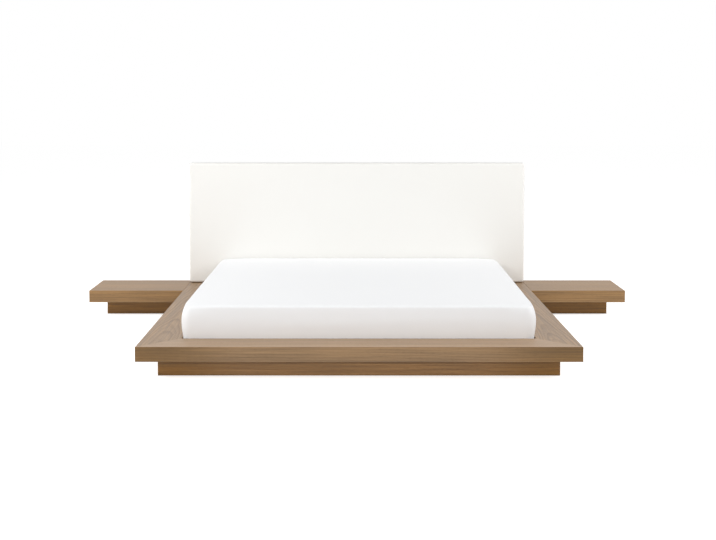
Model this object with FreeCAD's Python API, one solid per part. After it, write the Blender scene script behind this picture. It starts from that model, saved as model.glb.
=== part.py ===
"""A low platform bed with a padded headboard, a mattress and two nightstands.

Millimetres. +Z is up, the foot of the bed is towards -Y and the headboard towards +Y.
The origin is on the floor, under the middle of the whole set.
"""
import FreeCAD, Part
import math
import os

# Mattress and its fitted sheet
MATTRESS_WIDTH = 1800.0
MATTRESS_LENGTH = 2000.0
MATTRESS_THICKNESS = 212.0
MATTRESS_CORNER = 50.0
MATTRESS_BOTTOM_CHAMFER = 18.0
MATTRESS_TOP_ROLL = 14.0
MATTRESS_BULGE = 6.0
MATTRESS_CROWN = 4.0
MATTRESS_SIDE_GAP = 5.0
MATTRESS_HEAD_GAP = 8.0
MATTRESS_SEAT_GAP = 0.3
SHEET_THICKNESS = 1.6
SHEET_HEM = 110.0
SHEET_FIT_GAP = 0.3

# Deck: four hollow rails round the mattress, closed from below by base boards
SIDE_RAIL_WIDTH = 200.0
FOOT_RAIL_WIDTH = 230.0
DECK_THICKNESS = 75.0
TOP_BOARD = 20.0
FASCIA = 22.0
BASE_BOARD = 15.0
LEDGE = 45.0
EDGE_ROUND = 2.0
MITRE_BLOCK_REACH = 200.0
MITRE_BLOCK_WIDTH = 40.0
TENON_THICKNESS = 8.0
TENON_HEIGHT = 28.0
TENON_LENGTH = 50.0
TENON_IN_SIDE_RAIL = 18.0
TENON_FIT_GAP = 0.15

# Plinth under the deck, set back on all sides
PLINTH_HEIGHT = 88.0
PLINTH_RECESS = 98.0
PLINTH_BOARD = 22.0
CORNER_BLOCK = 45.0
BRACKET_LEG = 30.0
BRACKET_WIDTH = 40.0
BRACKET_SHEET = 3.0
SIDE_BRACKET_SHARES = (-0.6, 0.0, 0.6)
END_BRACKET_SHARES = (-0.5, 0.5)

# Slats, their straps and the beam under their middle
SLAT_COUNT = 12
SLAT_WIDTH = 100.0
SLAT_THICKNESS = 18.0
SLAT_END_GAP = 3.0
SLAT_FIRST_GAP = 10.0
SLAT_ROUND = 3.0
STRAP_WIDTH = 30.0
STRAP_THICKNESS = 1.2
STRAP_FROM_LEDGE = 45.0
STRAP_END_GAP = 2.0
BEAM_WIDTH = 44.0
BEAM_HEIGHT = 45.0
LEG_SIDE = 42.0
LEG_SHARES = (-0.5, 0.0, 0.5)
PAD_RADIUS = 18.0
PAD_HEIGHT = 6.0
HANGER_SHEET = 2.0
HANGER_DEPTH = 40.0
HANGER_EAR = 20.0

# Headboard
HEADBOARD_HEIGHT = 790.0
HEADBOARD_THICKNESS = 100.0
HEADBOARD_FOOT_GAP = 3.0
HEADBOARD_CORNER = 14.0
HEADBOARD_BACK_CHAMFER = 3.0
HEADBOARD_FRONT_ROLL = 12.0
HEADBOARD_BULGE = 0.5
HEADBOARD_CROWN = 2.5
COVER_THICKNESS = 1.6
COVER_RETURN = 45.0
FRONT_FOAM = 38.0
EDGE_FOAM = 10.0
PANEL_THICKNESS = 12.0
FRAME_MEMBER = 60.0

# Posts that hold the headboard, and their bolts
POST_WIDTH = 90.0
POST_THICKNESS = 26.0
POST_HEIGHT = 680.0
POST_FROM_END = 485.0
POST_ROUND = 4.0
BOLT_RADIUS = 4.0
BOLT_LENGTH = 40.0
BOLT_HEAD_RADIUS = 8.0
BOLT_HEAD_HEIGHT = 4.5
BOLT_FIT_GAP = 0.2
UPPER_BOLT_SHARES = (0.45, 0.85)

# Nightstands
STAND_WIDTH = 596.0
STAND_DEPTH = 478.0
STAND_GAP = 0.5

# Where each ring of a crown lies, as a share of the half length, and how far it has risen
CROWN_INSET_SHARES = (0.0, 0.12, 0.35)
CROWN_RISE_SHARES = (0.0, 0.6, 1.0)

# Small distances that every piece shares
OVERRUN = 5.0
TOLERANCE = 0.01

# Places across the bed
OPENING_HALF = MATTRESS_WIDTH / 2 + MATTRESS_SIDE_GAP
DECK_HALF = OPENING_HALF + SIDE_RAIL_WIDTH
LEDGE_HALF = OPENING_HALF - LEDGE
PLINTH_HALF = DECK_HALF - PLINTH_RECESS
STAND_INNER = DECK_HALF + STAND_GAP
STAND_OUTER = STAND_INNER + STAND_WIDTH
POST_MIDDLE = DECK_HALF - POST_FROM_END

# Places along the bed
OPENING_LENGTH = MATTRESS_SIDE_GAP + MATTRESS_LENGTH + MATTRESS_HEAD_GAP
BED_LENGTH = FOOT_RAIL_WIDTH + OPENING_LENGTH + HEADBOARD_THICKNESS + POST_THICKNESS
FRONT = -BED_LENGTH / 2
BACK = BED_LENGTH / 2
OPENING_FRONT = FRONT + FOOT_RAIL_WIDTH
OPENING_BACK = OPENING_FRONT + OPENING_LENGTH
HEADBOARD_BACK = OPENING_BACK + HEADBOARD_THICKNESS
LEDGE_FRONT = OPENING_FRONT + LEDGE
LEDGE_BACK = OPENING_BACK - LEDGE
PLINTH_FRONT = FRONT + PLINTH_RECESS
PLINTH_BACK = BACK - PLINTH_RECESS
STAND_FRONT = BACK - STAND_DEPTH

# Heights
DECK_TOP = PLINTH_HEIGHT + DECK_THICKNESS
BASE_TOP = PLINTH_HEIGHT + BASE_BOARD
HOLLOW_TOP = DECK_TOP - TOP_BOARD
SLAT_TOP = BASE_TOP + SLAT_THICKNESS
BEAM_UNDERSIDE = BASE_TOP - BEAM_HEIGHT
HEADBOARD_FOOT = DECK_TOP + HEADBOARD_FOOT_GAP
HEADBOARD_TOP = HEADBOARD_FOOT + HEADBOARD_HEIGHT

# The box that the headboard's wooden frame fills inside its padding
PADDING = COVER_THICKNESS + EDGE_FOAM
FRAME_HALF = DECK_HALF - PADDING
FRAME_FOOT = HEADBOARD_FOOT + PADDING
FRAME_TOP = HEADBOARD_TOP - PADDING
PANEL_FRONT = OPENING_BACK + COVER_THICKNESS + FRONT_FOAM
PANEL_BACK = PANEL_FRONT + PANEL_THICKNESS
FRAME_BACK = HEADBOARD_BACK - COVER_THICKNESS


def board(x, y, z):
    """A box between two values on each axis, given in either order."""
    low = FreeCAD.Vector(min(x), min(y), min(z))
    return Part.makeBox(max(x) - low.x, max(y) - low.y, max(z) - low.z, low)


def around(middle, width):
    """The two ends of a width that is centred on a place."""
    return (middle - width / 2, middle + width / 2)


def prism(outline, z_low, z_high):
    """A plan outline of (x, y) corners, raised from one height to another."""
    corners = [FreeCAD.Vector(x, y, z_low) for x, y in outline]
    face = Part.Face(Part.makePolygon(corners + corners[:1]))
    return face.extrude(FreeCAD.Vector(0, 0, z_high - z_low))


def ease(solid, radius, *lines):
    """Rounds the edges that lie on the given lines, such as {"X": 10, "Z": 20}."""
    def lies_on(edge, line):
        return all(
            abs(getattr(vertex, axis) - value) < TOLERANCE
            for vertex in edge.Vertexes
            for axis, value in line.items()
        )

    chosen = [edge for edge in solid.Edges if any(lies_on(edge, line) for line in lines)]
    return solid.makeFillet(radius, chosen)


def padded_profile(reach, height, chamfer, roll, bulge):
    """Half of a padded section, from the Z axis out to its side.

    The side starts with a chamfer, swells in a wide shallow arc and ends in a roll that is
    tangent to it. The reach is to the foot of that arc.
    """
    quarter = math.pi / 2
    roll_z = height - roll
    middle = (chamfer + roll_z) / 2
    half_side = middle - chamfer
    swell = (half_side ** 2 + bulge ** 2) / (2 * bulge)
    swell_x = reach + bulge - swell
    roll_x = swell_x + math.sqrt((swell - roll) ** 2 - (roll_z - middle) ** 2)
    tangent = math.atan2(roll_z - middle, roll_x - swell_x)

    def on_circle(x, z, radius, angle):
        return FreeCAD.Vector(x + radius * math.cos(angle), 0, z + radius * math.sin(angle))

    axis_foot = FreeCAD.Vector(0, 0, 0)
    floor_edge = FreeCAD.Vector(reach - chamfer, 0, 0)
    side_foot = FreeCAD.Vector(reach, 0, chamfer)
    side_middle = FreeCAD.Vector(reach + bulge, 0, middle)
    side_top = on_circle(swell_x, middle, swell, tangent)
    roll_middle = on_circle(roll_x, roll_z, roll, (tangent + quarter) / 2)
    top_edge = on_circle(roll_x, roll_z, roll, quarter)
    axis_top = FreeCAD.Vector(0, 0, height)
    edges = [
        Part.LineSegment(axis_foot, floor_edge),
        Part.LineSegment(floor_edge, side_foot),
        Part.Arc(side_foot, side_middle, side_top),
        Part.Arc(side_top, roll_middle, top_edge),
        Part.LineSegment(top_edge, axis_top),
        Part.LineSegment(axis_top, axis_foot),
    ]
    return Part.Face(Part.Wire([edge.toShape() for edge in edges]))


def crown_cap(half_x, half_y, height, crown):
    """Shallow steps with sloping sides that raise the middle of a padded form's flat top."""
    rings = []
    for inset_share, rise_share in zip(CROWN_INSET_SHARES, CROWN_RISE_SHARES):
        inset = half_y * inset_share
        rings.append((half_x - inset, half_y - inset, height + crown * rise_share))
    steps = []
    for (low_x, low_y, low_z), (high_x, high_y, high_z) in zip(rings, rings[1:]):
        step = Part.makeWedge(
            -low_x, low_z, -low_y, -high_y, -high_x, low_x, high_z, low_y, high_y, high_x
        )
        step.rotate(FreeCAD.Vector(), FreeCAD.Vector(1, 0, 0), 90)
        steps.append(step)
    return steps


def padded_form(half_x, half_y, thickness, corner, chamfer, roll, bulge, crown, depth):
    """A padded block on the floor, drawn in by a depth on every side.

    Its profile is turned at the four corners and extruded along the four sides.
    """
    up = FreeCAD.Vector(0, 0, 1)
    origin = FreeCAD.Vector()
    height = thickness - crown - 2 * depth
    profile = padded_profile(corner - depth, height, chamfer - depth, roll - depth, bulge)
    core_x = half_x - corner
    core_y = half_y - corner
    core = board((-core_x, core_x), (-core_y, core_y), (0, height))
    pieces = crown_cap(core_x, core_y, height, crown)
    for turn in range(4):
        along, out = (core_y, core_x) if turn % 2 == 0 else (core_x, core_y)
        section = profile.copy()
        section.translate(FreeCAD.Vector(out, along, 0))
        rounded = section.revolve(FreeCAD.Vector(out, along, 0), up, 90)
        straight = section.extrude(FreeCAD.Vector(0, -2 * along, 0))
        for piece in (rounded, straight):
            piece.rotate(origin, up, 90 * turn)
            pieces.append(piece)
    form = core.fuse(pieces).removeSplitter()
    form.translate(FreeCAD.Vector(0, 0, depth))
    return form


def side_base_board(side):
    """The board that closes a side rail from below and carries the slat ends.

    Its ledge stops at the back wall of the head rail.
    """
    outer = side * (DECK_HALF - FASCIA)
    ledge = side * LEDGE_HALF
    inner = side * OPENING_HALF
    ledge_end = HEADBOARD_BACK - FASCIA
    outline = [
        (outer, FRONT + FASCIA),
        (outer, BACK - FASCIA),
        (inner, BACK - FASCIA),
        (inner, ledge_end),
        (ledge, ledge_end),
        (ledge, FRONT + FASCIA),
    ]
    return prism(outline, PLINTH_HEIGHT, BASE_TOP)


def end_base_board(front, back):
    """The board that closes the foot or head rail from below."""
    return board((-LEDGE_HALF, LEDGE_HALF), (front, back), (PLINTH_HEIGHT, BASE_TOP))


def tenons(gap):
    """Four loose tenons between the head rail and the side rails, with room around them."""
    middle = OPENING_HALF + TENON_IN_SIDE_RAIL - TENON_LENGTH / 2
    height = around((BASE_TOP + HOLLOW_TOP) / 2, TENON_HEIGHT + 2 * gap)
    pieces = []
    for side in (-1, 1):
        along = around(side * middle, TENON_LENGTH + 2 * gap)
        for y in (OPENING_BACK + FASCIA / 2, HEADBOARD_BACK - FASCIA / 2):
            pieces.append(board(along, around(y, TENON_THICKNESS + 2 * gap), height))
    return Part.makeCompound(pieces)


def side_rail(side):
    """A hollow rail beside the mattress, mitred at its foot end."""
    outer = side * DECK_HALF
    inner = side * OPENING_HALF
    outline = [(outer, FRONT), (outer, BACK), (inner, BACK), (inner, OPENING_FRONT)]
    rail = ease(
        prism(outline, PLINTH_HEIGHT, DECK_TOP),
        EDGE_ROUND,
        {"X": outer, "Z": DECK_TOP},
        {"X": outer, "Z": PLINTH_HEIGHT},
        {"X": inner, "Z": DECK_TOP},
    )
    hollow = board(
        (inner + side * FASCIA, outer - side * FASCIA),
        (FRONT - OVERRUN, BACK - FASCIA),
        (PLINTH_HEIGHT - OVERRUN, HOLLOW_TOP),
    )
    return rail.cut([hollow, side_base_board(side), tenons(TENON_FIT_GAP)])


def foot_rail():
    """The hollow rail across the foot, mitred at both ends."""
    outline = [
        (-DECK_HALF, FRONT),
        (DECK_HALF, FRONT),
        (OPENING_HALF, OPENING_FRONT),
        (-OPENING_HALF, OPENING_FRONT),
    ]
    rail = ease(
        prism(outline, PLINTH_HEIGHT, DECK_TOP),
        EDGE_ROUND,
        {"Y": FRONT, "Z": DECK_TOP},
        {"Y": FRONT, "Z": PLINTH_HEIGHT},
        {"Y": OPENING_FRONT, "Z": DECK_TOP},
    )
    across = (-DECK_HALF - OVERRUN, DECK_HALF + OVERRUN)
    hollow = board(
        across,
        (FRONT + FASCIA, OPENING_FRONT - FASCIA),
        (PLINTH_HEIGHT - OVERRUN, HOLLOW_TOP),
    )
    seat = board(
        across,
        (FRONT + FASCIA, LEDGE_FRONT),
        (PLINTH_HEIGHT - OVERRUN, BASE_TOP),
    )
    return rail.cut([hollow, seat])


def head_rail():
    """The hollow rail under the headboard, between the side rails."""
    across = (-OPENING_HALF, OPENING_HALF)
    rail = ease(
        board(across, (OPENING_BACK, HEADBOARD_BACK), (PLINTH_HEIGHT, DECK_TOP)),
        EDGE_ROUND,
        {"Y": OPENING_BACK, "Z": DECK_TOP},
    )
    hollow = board(
        across,
        (OPENING_BACK + FASCIA, HEADBOARD_BACK - FASCIA),
        (PLINTH_HEIGHT - OVERRUN, HOLLOW_TOP),
    )
    seat = board(
        across,
        (OPENING_BACK - OVERRUN, HEADBOARD_BACK - FASCIA),
        (PLINTH_HEIGHT - OVERRUN, BASE_TOP),
    )
    return rail.cut([hollow, seat, tenons(TENON_FIT_GAP), bolts(BOLT_FIT_GAP)])


def mitre_block(side):
    """The L-shaped block glued inside a foot corner, across the mitre."""
    outer = side * (DECK_HALF - FASCIA)
    front = FRONT + FASCIA
    width = side * MITRE_BLOCK_WIDTH
    reach = side * MITRE_BLOCK_REACH
    outline = [
        (outer, front),
        (outer, front + MITRE_BLOCK_REACH),
        (outer - width, front + MITRE_BLOCK_REACH),
        (outer - width, front + MITRE_BLOCK_WIDTH),
        (outer - reach, front + MITRE_BLOCK_WIDTH),
        (outer - reach, front),
    ]
    return prism(outline, BASE_TOP, HOLLOW_TOP)


def deck():
    """The rails, what closes them from below and what ties their corners."""
    return {
        "side_rail_left": side_rail(-1),
        "side_rail_right": side_rail(1),
        "foot_rail": foot_rail(),
        "head_rail": head_rail(),
        "base_board_left": side_base_board(-1),
        "base_board_right": side_base_board(1),
        "base_board_foot": end_base_board(FRONT + FASCIA, LEDGE_FRONT),
        "base_board_head": end_base_board(LEDGE_BACK, HEADBOARD_BACK - FASCIA),
        "mitre_blocks": Part.makeCompound([mitre_block(side) for side in (-1, 1)]),
        "head_rail_tenons": tenons(0),
    }


def corner_blocks(x_inner_faces, y_inner_faces):
    """Blocks glued inside the four corners of a plinth."""
    pieces = []
    for x, x_in in zip(x_inner_faces, (1, -1)):
        for y, y_in in zip(y_inner_faces, (1, -1)):
            pieces.append(
                board(
                    (x, x + x_in * CORNER_BLOCK),
                    (y, y + y_in * CORNER_BLOCK),
                    (0, PLINTH_HEIGHT),
                )
            )
    return Part.makeCompound(pieces)


def angle_bracket():
    """A steel angle: one leg against a face at X = 0, the other under the deck."""
    corners = [
        (0, 0),
        (0, -BRACKET_LEG),
        (BRACKET_SHEET, -BRACKET_LEG),
        (BRACKET_SHEET, -BRACKET_SHEET),
        (BRACKET_LEG, -BRACKET_SHEET),
        (BRACKET_LEG, 0),
    ]
    points = [FreeCAD.Vector(x, -BRACKET_WIDTH / 2, PLINTH_HEIGHT + z) for x, z in corners]
    face = Part.Face(Part.makePolygon(points + points[:1]))
    return face.extrude(FreeCAD.Vector(0, BRACKET_WIDTH, 0))


def deck_brackets():
    """The angles that screw the deck down on its plinth."""
    side_face = PLINTH_HALF - PLINTH_BOARD
    end_face = PLINTH_BACK - PLINTH_BOARD
    up = FreeCAD.Vector(0, 0, 1)
    pieces = []
    for share in SIDE_BRACKET_SHARES:
        for side, turn in ((-1, 0), (1, 180)):
            piece = angle_bracket()
            piece.rotate(FreeCAD.Vector(), up, turn)
            piece.translate(FreeCAD.Vector(side * side_face, end_face * share, 0))
            pieces.append(piece)
    for share in END_BRACKET_SHARES:
        for end, turn in ((-1, 90), (1, -90)):
            piece = angle_bracket()
            piece.rotate(FreeCAD.Vector(), up, turn)
            piece.translate(FreeCAD.Vector(side_face * share, end * end_face, 0))
            pieces.append(piece)
    return Part.makeCompound(pieces)


def plinth():
    """The four boards that the deck stands on, with their blocks and brackets."""
    side_face = PLINTH_HALF - PLINTH_BOARD
    front_face = PLINTH_FRONT + PLINTH_BOARD
    back_face = PLINTH_BACK - PLINTH_BOARD
    across = (-PLINTH_HALF, PLINTH_HALF)
    height = (0, PLINTH_HEIGHT)
    return {
        "plinth_left": board((-PLINTH_HALF, -side_face), (front_face, back_face), height),
        "plinth_right": board((side_face, PLINTH_HALF), (front_face, back_face), height),
        "plinth_foot": board(across, (PLINTH_FRONT, front_face), height),
        "plinth_head": board(across, (back_face, PLINTH_BACK), height),
        "plinth_corner_blocks": corner_blocks((-side_face, side_face), (front_face, back_face)),
        "deck_brackets": deck_brackets(),
    }


def slats():
    """The slats, evenly spread from the foot to the head of the opening."""
    first = OPENING_FRONT + SLAT_FIRST_GAP
    last = OPENING_BACK - SLAT_FIRST_GAP - SLAT_WIDTH
    half = OPENING_HALF - SLAT_END_GAP
    pieces = {}
    for index in range(SLAT_COUNT):
        y = first + (last - first) * index / (SLAT_COUNT - 1)
        slat = board((-half, half), (y, y + SLAT_WIDTH), (BASE_TOP, SLAT_TOP))
        pieces[f"slat_{index + 1:02d}"] = ease(
            slat,
            SLAT_ROUND,
            {"Y": y, "Z": SLAT_TOP},
            {"Y": y + SLAT_WIDTH, "Z": SLAT_TOP},
        )
    return pieces


def slat_straps():
    """Two webbing straps stapled under the slats to hold them apart."""
    along = (LEDGE_FRONT + STRAP_END_GAP, LEDGE_BACK - STRAP_END_GAP)
    height = (BASE_TOP - STRAP_THICKNESS, BASE_TOP)
    middle = LEDGE_HALF - STRAP_FROM_LEDGE
    straps = [board(around(side * middle, STRAP_WIDTH), along, height) for side in (-1, 1)]
    return Part.makeCompound(straps)


def beam_hanger(end):
    """A steel shoe on an end board of the plinth, under one end of the beam."""
    face = end * (PLINTH_BACK - PLINTH_BOARD)
    along = (face, face - end * HANGER_DEPTH)
    cheek = BEAM_WIDTH / 2 + HANGER_SHEET
    floor = BEAM_UNDERSIDE - HANGER_SHEET
    tray = board((-cheek, cheek), along, (floor, PLINTH_HEIGHT))
    ears = board(
        (-cheek - HANGER_EAR, cheek + HANGER_EAR),
        (face, face - end * HANGER_SHEET),
        (floor, PLINTH_HEIGHT),
    )
    room = board(
        around(0, BEAM_WIDTH),
        (face + end * OVERRUN, face - end * (HANGER_DEPTH + OVERRUN)),
        (BEAM_UNDERSIDE, PLINTH_HEIGHT + OVERRUN),
    )
    return tray.fuse(ears).removeSplitter().cut(room)


def center_support():
    """The beam under the slats' middle, notched under the end base boards."""
    front_face = PLINTH_FRONT + PLINTH_BOARD
    back_face = PLINTH_BACK - PLINTH_BOARD
    across = around(0, BEAM_WIDTH)
    lower = board(across, (front_face, back_face), (BEAM_UNDERSIDE, PLINTH_HEIGHT))
    upper = board(across, (LEDGE_FRONT, LEDGE_BACK), (PLINTH_HEIGHT, BASE_TOP))
    legs = []
    pads = []
    for share in LEG_SHARES:
        y = back_face * share
        legs.append(
            board(around(0, LEG_SIDE), around(y, LEG_SIDE), (PAD_HEIGHT, BEAM_UNDERSIDE))
        )
        pads.append(Part.makeCylinder(PAD_RADIUS, PAD_HEIGHT, FreeCAD.Vector(0, y, 0)))
    return {
        "center_beam": lower.fuse(upper).removeSplitter(),
        "center_legs": Part.makeCompound(legs),
        "leg_pads": Part.makeCompound(pads),
        "beam_hangers": Part.makeCompound([beam_hanger(end) for end in (-1, 1)]),
    }


def bolt_places():
    """Where the bolts stand, as (x, z) pairs: one in the head rail, two in each stile."""
    heights = [(BASE_TOP + HOLLOW_TOP) / 2]
    heights += [PLINTH_HEIGHT + POST_HEIGHT * share for share in UPPER_BOLT_SHARES]
    return [(side * POST_MIDDLE, z) for side in (-1, 1) for z in heights]


def bolts(gap):
    """The countersunk bolts that hold the posts, flush at the back, with room around them."""
    forward = FreeCAD.Vector(0, -1, 0)
    head_radius = BOLT_HEAD_RADIUS + gap
    radius = BOLT_RADIUS + gap
    pieces = []
    for x, z in bolt_places():
        flush = FreeCAD.Vector(x, BACK, z)
        head = Part.makeCone(head_radius, radius, BOLT_HEAD_HEIGHT, flush, forward)
        seat = FreeCAD.Vector(x, BACK - BOLT_HEAD_HEIGHT, z)
        shank = Part.makeCylinder(radius, BOLT_LENGTH - BOLT_HEAD_HEIGHT + gap, seat, forward)
        pieces.append(head.fuse(shank))
    return Part.makeCompound(pieces)


def headboard_form(depth):
    """The headboard's padded shape, drawn in by a depth on every side."""
    half_height = HEADBOARD_HEIGHT / 2
    form = padded_form(
        DECK_HALF - HEADBOARD_BULGE,
        half_height - HEADBOARD_BULGE,
        HEADBOARD_THICKNESS,
        HEADBOARD_CORNER,
        HEADBOARD_BACK_CHAMFER,
        HEADBOARD_FRONT_ROLL,
        HEADBOARD_BULGE,
        HEADBOARD_CROWN,
        depth,
    )
    form.rotate(FreeCAD.Vector(), FreeCAD.Vector(1, 0, 0), 90)
    form.translate(FreeCAD.Vector(0, HEADBOARD_BACK, HEADBOARD_FOOT + half_height))
    return form


def headboard_padding():
    """The foam, its cover and the cloth that closes the back."""
    opening_half = DECK_HALF - COVER_RETURN
    opening_height = (HEADBOARD_FOOT + COVER_RETURN, HEADBOARD_TOP - COVER_RETURN)
    inside = headboard_form(COVER_THICKNESS)
    frame_space = board(
        (-FRAME_HALF, FRAME_HALF),
        (PANEL_FRONT, HEADBOARD_BACK + OVERRUN),
        (FRAME_FOOT, FRAME_TOP),
    )
    back_opening = board(
        (-opening_half, opening_half),
        (FRAME_BACK - OVERRUN, HEADBOARD_BACK + OVERRUN),
        opening_height,
    )
    back_cloth = board(
        (-opening_half, opening_half), (FRAME_BACK, HEADBOARD_BACK), opening_height
    )
    return {
        "headboard_foam": inside.cut(frame_space),
        "headboard_cover": headboard_form(0).cut([inside, back_opening]),
        "headboard_back_cloth": back_cloth.cut(bolts(BOLT_FIT_GAP)),
    }


def headboard_frame():
    """The panel behind the foam, and the members that stiffen it."""
    across = (-FRAME_HALF, FRAME_HALF)
    deep = (PANEL_BACK, FRAME_BACK)
    inner_height = (FRAME_FOOT + FRAME_MEMBER, FRAME_TOP - FRAME_MEMBER)
    end_stile = FRAME_HALF - FRAME_MEMBER / 2
    stiles = (
        (-end_stile, FRAME_MEMBER),
        (-POST_MIDDLE, POST_WIDTH),
        (POST_MIDDLE, POST_WIDTH),
        (end_stile, FRAME_MEMBER),
    )
    pieces = {
        "headboard_panel": board(across, (PANEL_FRONT, PANEL_BACK), (FRAME_FOOT, FRAME_TOP)),
        "headboard_top_member": board(across, deep, (inner_height[1], FRAME_TOP)),
        "headboard_bottom_member": board(across, deep, (FRAME_FOOT, inner_height[0])),
    }
    for index, (middle, width) in enumerate(stiles):
        pieces[f"headboard_stile_{index + 1}"] = board(around(middle, width), deep, inner_height)
    holes = bolts(BOLT_FIT_GAP)
    return {name: piece.cut(holes) for name, piece in pieces.items()}


def headboard_posts():
    """Two posts behind the headboard, bolted to it and to the head rail."""
    top = PLINTH_HEIGHT + POST_HEIGHT
    pieces = {}
    for name, side in (("left", -1), ("right", 1)):
        post = board(
            around(side * POST_MIDDLE, POST_WIDTH),
            (HEADBOARD_BACK, BACK),
            (PLINTH_HEIGHT, top),
        )
        eased = ease(post, POST_ROUND, {"Y": BACK, "Z": top})
        pieces[f"headboard_post_{name}"] = eased.cut(bolts(BOLT_FIT_GAP))
    pieces["headboard_bolts"] = bolts(0)
    return pieces


def mattress_form(depth):
    """The made-up mattress, drawn in by a depth on every side."""
    form = padded_form(
        MATTRESS_WIDTH / 2,
        MATTRESS_LENGTH / 2,
        MATTRESS_THICKNESS,
        MATTRESS_CORNER,
        MATTRESS_BOTTOM_CHAMFER,
        MATTRESS_TOP_ROLL,
        MATTRESS_BULGE,
        MATTRESS_CROWN,
        depth,
    )
    middle = OPENING_FRONT + MATTRESS_SIDE_GAP + MATTRESS_LENGTH / 2
    form.translate(FreeCAD.Vector(0, middle, SLAT_TOP + MATTRESS_SEAT_GAP))
    return form


def bedding():
    """The mattress, and the fitted sheet that is turned in under its edges."""
    inside = mattress_form(SHEET_THICKNESS)
    half_hem = MATTRESS_WIDTH / 2 - SHEET_HEM
    hem_opening = board(
        (-half_hem, half_hem),
        (OPENING_FRONT + SHEET_HEM, OPENING_BACK - SHEET_HEM),
        (SLAT_TOP, SLAT_TOP + MATTRESS_TOP_ROLL),
    )
    return {
        "mattress": mattress_form(SHEET_THICKNESS + SHEET_FIT_GAP),
        "fitted_sheet": mattress_form(0).cut([inside, hem_opening]),
    }


def nightstand(name, side):
    """A low table beside the headboard: a hollow top on a plinth of four boards."""
    inner = side * STAND_INNER
    outer = side * STAND_OUTER
    plinth_outer = side * (STAND_OUTER - PLINTH_RECESS)
    outer_face = plinth_outer - side * PLINTH_BOARD
    inner_face = inner + side * PLINTH_BOARD
    front = STAND_FRONT + PLINTH_RECESS
    front_face = front + PLINTH_BOARD
    back_face = PLINTH_BACK - PLINTH_BOARD
    across = (inner, plinth_outer)
    between = (front_face, back_face)
    height = (0, PLINTH_HEIGHT)
    top = ease(
        board((inner, outer), (STAND_FRONT, BACK), (PLINTH_HEIGHT, DECK_TOP)),
        EDGE_ROUND,
        {"X": outer, "Z": DECK_TOP},
        {"X": outer, "Z": PLINTH_HEIGHT},
        {"X": outer, "Y": STAND_FRONT},
        {"X": outer, "Y": BACK},
        {"Y": STAND_FRONT, "Z": DECK_TOP},
        {"Y": STAND_FRONT, "Z": PLINTH_HEIGHT},
        {"Y": BACK, "Z": DECK_TOP},
        {"X": inner, "Z": DECK_TOP},
        {"X": inner, "Y": STAND_FRONT},
    )
    inside = ((inner + side * FASCIA, outer - side * FASCIA), (STAND_FRONT + FASCIA, BACK - FASCIA))
    return {
        f"{name}_top": top.cut(board(*inside, (PLINTH_HEIGHT - OVERRUN, HOLLOW_TOP))),
        f"{name}_base_board": board(*inside, (PLINTH_HEIGHT, BASE_TOP)),
        f"{name}_plinth_front": board(across, (front, front_face), height),
        f"{name}_plinth_back": board(across, (back_face, PLINTH_BACK), height),
        f"{name}_plinth_outer": board((plinth_outer, outer_face), between, height),
        f"{name}_plinth_inner": board((inner, inner_face), between, height),
    }


def main():
    """Writes every piece to its own file."""
    groups = (
        deck(),
        plinth(),
        slats(),
        {"slat_straps": slat_straps()},
        center_support(),
        headboard_padding(),
        headboard_frame(),
        headboard_posts(),
        bedding(),
        nightstand("nightstand_left", -1),
        nightstand("nightstand_right", 1),
    )
    os.makedirs("parts", exist_ok=True)
    count = 0
    for pieces in groups:
        for name, shape in pieces.items():
            shape.exportStep(f"parts/{name}.step")
            print(f"{name}: {len(shape.Solids)} solids, {shape.Volume:.0f} cubic mm")
            count += 1
    print(f"{count} pieces")


main()
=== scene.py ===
"""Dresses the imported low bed: woods, padded headboard, made-up mattress, fittings, lamps, camera.

Metres. +Z is up, the foot of the bed is towards -Y and the headboard towards +Y.
"""
import math

import bmesh
import bpy
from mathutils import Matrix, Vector, noise


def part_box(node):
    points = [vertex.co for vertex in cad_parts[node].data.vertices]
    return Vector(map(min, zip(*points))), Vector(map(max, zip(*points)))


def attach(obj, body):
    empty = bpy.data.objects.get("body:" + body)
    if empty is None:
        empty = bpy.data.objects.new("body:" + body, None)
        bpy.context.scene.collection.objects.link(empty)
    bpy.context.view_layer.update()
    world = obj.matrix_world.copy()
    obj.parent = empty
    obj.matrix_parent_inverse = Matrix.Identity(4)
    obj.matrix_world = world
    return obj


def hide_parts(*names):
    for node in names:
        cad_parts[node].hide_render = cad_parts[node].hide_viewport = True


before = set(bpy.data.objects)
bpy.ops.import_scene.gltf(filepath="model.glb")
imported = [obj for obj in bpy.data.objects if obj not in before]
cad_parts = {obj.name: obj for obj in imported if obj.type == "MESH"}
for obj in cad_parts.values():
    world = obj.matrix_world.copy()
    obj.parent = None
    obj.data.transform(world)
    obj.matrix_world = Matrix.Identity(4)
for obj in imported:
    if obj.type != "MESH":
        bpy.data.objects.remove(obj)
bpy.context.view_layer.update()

# Fitted sheet and mattress
SHEET_THICKNESS = 0.0012
SHEET_CORNER = 0.05
SHEET_TOP_ROLL = 0.015
SHEET_LOW_ROLL = 0.018
SHEET_BULGE = 0.006
SHEET_CROWN = 0.004
SHEET_HEM = 0.105
SHEET_STEP = 0.028
SIDE_STEPS = 12
SOFT_CORNER_REACH = 0.17
SOFT_CORNER_ROLL = 0.05
SOFT_CORNER_SHARE = 0.4
SHEET_LEAN = 0.013
SIDE_BULGE = 0.005
MATTRESS_INSET = 0.006
MATTRESS_TOP_ROLL = 0.012
MATTRESS_BULGE = 0.004
MATTRESS_LIFT = 0.0015
QUILT_SPACING = 0.14
QUILT_DEPTH = 0.004
FACE_BAND = 0.002

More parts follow.
